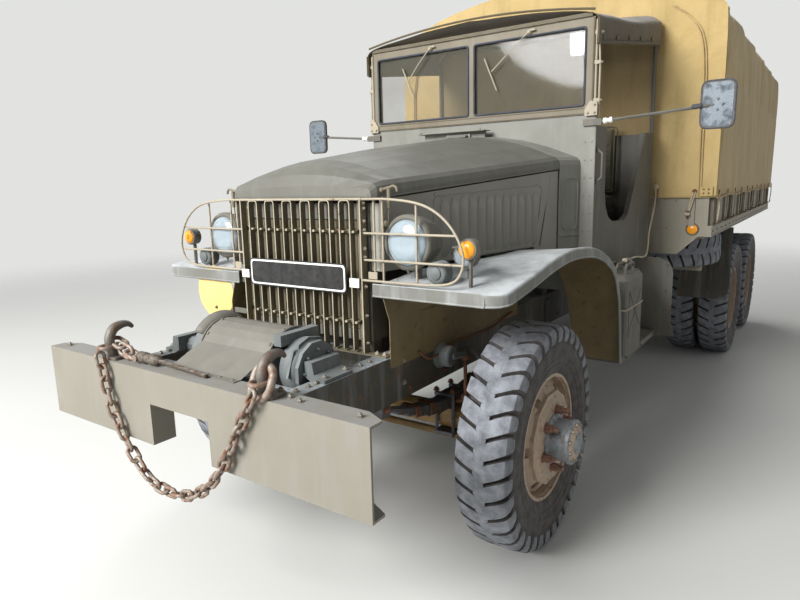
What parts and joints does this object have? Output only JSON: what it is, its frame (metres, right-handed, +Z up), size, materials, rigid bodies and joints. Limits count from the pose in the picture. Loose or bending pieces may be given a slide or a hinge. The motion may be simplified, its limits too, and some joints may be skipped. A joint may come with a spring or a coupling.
{
  "type": "six-wheel-drive military cargo truck",
  "caption": "Long-wheelbase all-wheel-drive army cargo truck with an open cab, a canvas roof and bed cover, a front winch and a brush guard.",
  "frame": {"origin": "on the floor under the middle of the truck's bounding box", "axes": "+Z up, the front points along -Y, +X is the truck's left"},
  "size_m": [2.626, 6.9345, 2.77],
  "materials": {
    "olive_paint": "dusty matt olive drab enamel",
    "wheel_paint": "olive enamel worn to rusty brown",
    "axle_paint": "dry ochre dust over paint",
    "tyre": "dusty grey rubber",
    "spring_steel": "dark oiled spring steel",
    "chain_steel": "rusty bare steel",
    "canvas_tan": "tan cotton duck canvas",
    "canvas_olive": "dark olive-brown canvas",
    "seat_canvas": "olive duck over padding",
    "glass": "clear flat glass",
    "mirror": "flat mirror in a painted shell",
    "engine_paint": "greasy grey-green cast iron",
    "wood_paint": "painted hardwood",
    "exhaust_steel": "rusty sheet steel"
  },
  "bodies": {
    "chassis": {"bed_racks": "wood_paint", "brush_guard": "olive_paint", "cab": "olive_paint", "cab_roof": "canvas_olive", "cargo_bed": "olive_paint", "cargo_cover": "canvas_tan", "cover_bows": "olive_paint", "cowl": "olive_paint", "driveline": "engine_paint", "engine": "engine_paint", "exhaust": "exhaust_steel", "fenders": "olive_paint", "frame": "olive_paint", "front_axle": "axle_paint", "front_bumper": "olive_paint", "front_springs": "spring_steel", "fuel_tank": "olive_paint", "hood_sides": "olive_paint", "jerry_can": "olive_paint", "lamps": "olive_paint", "mirrors": "mirror", "radiator": "olive_paint", "rear_axles": "axle_paint", "rear_fittings": "olive_paint", "rear_springs": "spring_steel", "roof_frame": "olive_paint", "running_boards": "olive_paint", "seat_cushions": "seat_canvas", "spare_carrier": "olive_paint", "spare_disc": "wheel_paint", "spare_tyre": "tyre", "splash_shields": "olive_paint", "steering_column": "olive_paint", "tow_hooks": "olive_paint", "winch": "olive_paint", "winch_chain": "chain_steel", "winch_cover": "olive_paint", "windscreen": "olive_paint", "windscreen_glass": "glass"},
    "knuckle_left": {"knuckle_left": "axle_paint"},
    "knuckle_right": {"knuckle_right": "axle_paint"},
    "tie_rod": {"tie_rod": "axle_paint"},
    "front_left_wheel": {"front_left_disc": "wheel_paint", "front_left_tyre": "tyre"},
    "front_right_wheel": {"front_right_disc": "wheel_paint", "front_right_tyre": "tyre"},
    "mid_left_wheels": {"mid_left_discs": "wheel_paint", "mid_left_tyres": "tyre"},
    "mid_right_wheels": {"mid_right_discs": "wheel_paint", "mid_right_tyres": "tyre"},
    "rear_left_wheels": {"rear_left_discs": "wheel_paint", "rear_left_tyres": "tyre"},
    "rear_right_wheels": {"rear_right_discs": "wheel_paint", "rear_right_tyres": "tyre"},
    "steering_wheel": {"steering_wheel": "olive_paint"},
    "hood": {"hood": "olive_paint"},
    "tailgate": {"tailgate": "olive_paint"}
  },
  "joints": [
    {"name": "steer_left", "type": "hinge", "parent": "chassis", "child": "knuckle_left", "pos_m": [0.64, -2.30325, 0.465], "axis": [0, 0, 1], "range_deg": [-28, 28]},
    {"name": "steer_right", "type": "hinge", "parent": "chassis", "child": "knuckle_right", "pos_m": [-0.64, -2.30325, 0.465], "axis": [0, 0, 1], "range_deg": [-29, 29]},
    {"name": "tie_rod_pivot", "type": "hinge", "parent": "knuckle_left", "child": "tie_rod", "pos_m": [0.64, -2.15325, 0.345], "axis": [0, 0, 1], "range_deg": [-29, 29]},
    {"name": "steering_wheel_spin", "type": "hinge", "parent": "chassis", "child": "steering_wheel", "pos_m": [0.35, -0.95825, 1.65], "axis": [0, 0.766, 0.6428], "range_deg": [-500, 500]},
    {"name": "front_left_spin", "type": "hinge", "parent": "knuckle_left", "child": "front_left_wheel", "pos_m": [0.765, -2.30325, 0.465], "axis": [1, 0, 0], "continuous": true},
    {"name": "front_right_spin", "type": "hinge", "parent": "knuckle_right", "child": "front_right_wheel", "pos_m": [-0.765, -2.30325, 0.465], "axis": [1, 0, 0], "continuous": true},
    {"name": "mid_left_spin", "type": "hinge", "parent": "chassis", "child": "mid_left_wheels", "pos_m": [0.857, 1.30375, 0.465], "axis": [1, 0, 0], "continuous": true},
    {"name": "mid_right_spin", "type": "hinge", "parent": "chassis", "child": "mid_right_wheels", "pos_m": [-0.857, 1.30375, 0.465], "axis": [1, 0, 0], "continuous": true},
    {"name": "rear_left_spin", "type": "hinge", "parent": "chassis", "child": "rear_left_wheels", "pos_m": [0.857, 2.42175, 0.465], "axis": [1, 0, 0], "continuous": true},
    {"name": "rear_right_spin", "type": "hinge", "parent": "chassis", "child": "rear_right_wheels", "pos_m": [-0.857, 2.42175, 0.465], "axis": [1, 0, 0], "continuous": true},
    {"name": "hood_hinge", "type": "hinge", "parent": "chassis", "child": "hood", "pos_m": [0, -1.53525, 1.741], "axis": [-1, 0, 0], "range_deg": [0, 55]},
    {"name": "tailgate_hinge", "type": "hinge", "parent": "chassis", "child": "tailgate", "pos_m": [0, 3.45775, 1.19], "axis": [-1, 0, 0], "range_deg": [0, 180]}
  ],
  "couplings": [
    {"joint": "steer_right", "follows": "steer_left", "ratio": 1},
    {"joint": "tie_rod_pivot", "follows": "steer_left", "ratio": -1},
    {"joint": "steering_wheel_spin", "follows": "steer_left", "ratio": 17}
  ]
}
